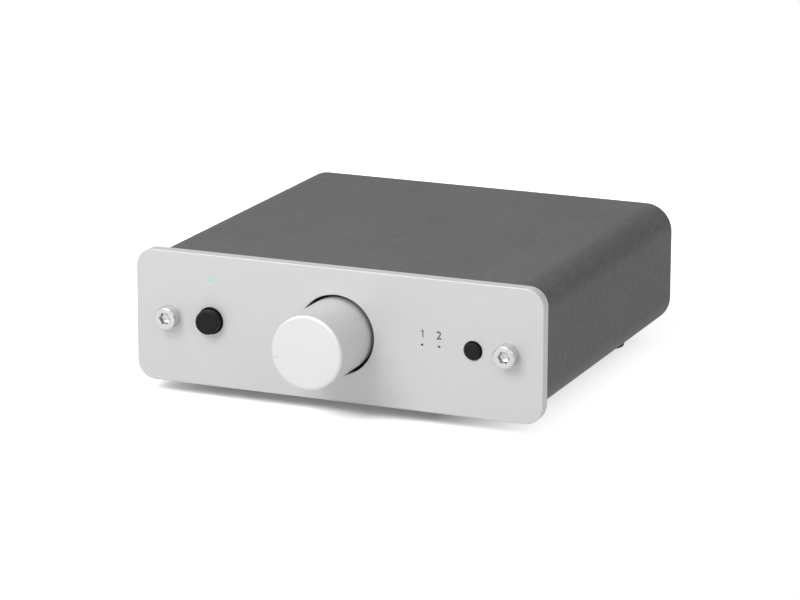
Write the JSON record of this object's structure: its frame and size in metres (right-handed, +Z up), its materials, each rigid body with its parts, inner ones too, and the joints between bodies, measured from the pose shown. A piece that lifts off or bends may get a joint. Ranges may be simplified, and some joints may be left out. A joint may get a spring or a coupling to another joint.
{
  "type": "phono preamp",
  "caption": "Miniature phono preamp in a grey steel sleeve with a thick aluminium front panel, a large gain knob, two push buttons and rear phono sockets.",
  "frame": {"origin": "on the surface that the feet stand on, midway between the sides and midway between the knob's face and the ends of the rear sockets", "axes": "+X to the right seen from the front, +Y to the rear, +Z up"},
  "size_m": [0.103, 0.122, 0.0352],
  "materials": {
    "panel_aluminium": "fine satin",
    "knob_aluminium": "turned satin",
    "sleeve_paint": "fine matt grey",
    "plate_black": "matt black",
    "rail_aluminium": "mill finish",
    "plated_steel": "bright nickel plate",
    "black_steel": "black oxide",
    "gold_plate": "gold plate",
    "button_plastic": "matt black",
    "black_plastic": "moulded black",
    "white_plastic": "moulded",
    "red_plastic": "moulded",
    "clear_plastic": "clear",
    "board_green": "solder mask",
    "can_sleeve": "printed film",
    "foot_rubber": "matt black"
  },
  "bodies": {
    "base": {"board_resistors": "black_plastic", "cartridge_switch_body": "black_plastic", "circuit_board": "board_green", "circuit_board_screws": "plated_steel", "clock_crystal": "plated_steel", "control_board": "board_green", "control_board_header": "black_plastic", "converter_chip": "black_plastic", "dc_jack_housing": "black_plastic", "dc_jack_pin": "plated_steel", "electrolytic_capacitors": "can_sleeve", "film_capacitors": "red_plastic", "front_panel": "panel_aluminium", "front_panel_screws": "plated_steel", "ground_stud": "gold_plate", "ground_stud_nut": "plated_steel", "ground_washer": "plated_steel", "input_leds": "clear_plastic", "input_light_pipes": "clear_plastic", "input_relays": "white_plastic", "left_side_rail": "rail_aluminium", "line_in_housing": "black_plastic", "line_out_housing": "black_plastic", "op_amps": "black_plastic", "phono_in_housing": "black_plastic", "potentiometer_body": "black_plastic", "potentiometer_bushing": "plated_steel", "power_led": "clear_plastic", "power_light_pipe": "clear_plastic", "power_switch_body": "black_plastic", "rca_block_screws": "plated_steel", "rca_centre_contacts": "gold_plate", "rca_shells": "gold_plate", "rear_plate": "plate_black", "rear_plate_screws": "plated_steel", "red_rings": "red_plastic", "right_side_rail": "rail_aluminium", "rubber_feet": "foot_rubber", "selector_switch_body": "black_plastic", "sleeve": "sleeve_paint", "usb_socket_shell": "plated_steel", "usb_socket_tongue": "white_plastic", "voltage_regulator": "black_plastic", "white_rings": "white_plastic"},
    "knob": {"gain_knob": "knob_aluminium", "potentiometer_shaft": "plated_steel", "knob_grub_screw": "black_steel"},
    "power_button": {"power_button": "button_plastic", "power_switch_plunger": "black_plastic"},
    "selector_button": {"selector_button": "button_plastic", "selector_switch_plunger": "black_plastic"},
    "cartridge_button": {"cartridge_switch_button": "black_plastic"},
    "thumb_nut": {"ground_thumb_nut": "gold_plate"}
  },
  "joints": [
    {"name": "gain_turn", "type": "hinge", "parent": "base", "child": "knob", "pos_m": [0, -0.044, 0.0192], "axis": [0, 1, 0], "range_deg": [-47, 253]},
    {"name": "power_press", "type": "slide", "parent": "base", "child": "power_button", "axis": [0, 1, 0], "range_m": [0, 0.0012], "stiffness_N_per_m": 500},
    {"name": "selector_press", "type": "slide", "parent": "base", "child": "selector_button", "axis": [0, 1, 0], "range_m": [0, 0.0006], "stiffness_N_per_m": 500},
    {"name": "cartridge_press", "type": "slide", "parent": "base", "child": "cartridge_button", "axis": [0, -1, 0], "range_m": [0, 0.002], "stiffness_N_per_m": 500},
    {"name": "thumb_nut_turn", "type": "hinge", "parent": "base", "child": "thumb_nut", "pos_m": [0.0351, 0.052, 0.0271], "axis": [0, 1, 0], "range_deg": [0, 1440]}
  ]
}
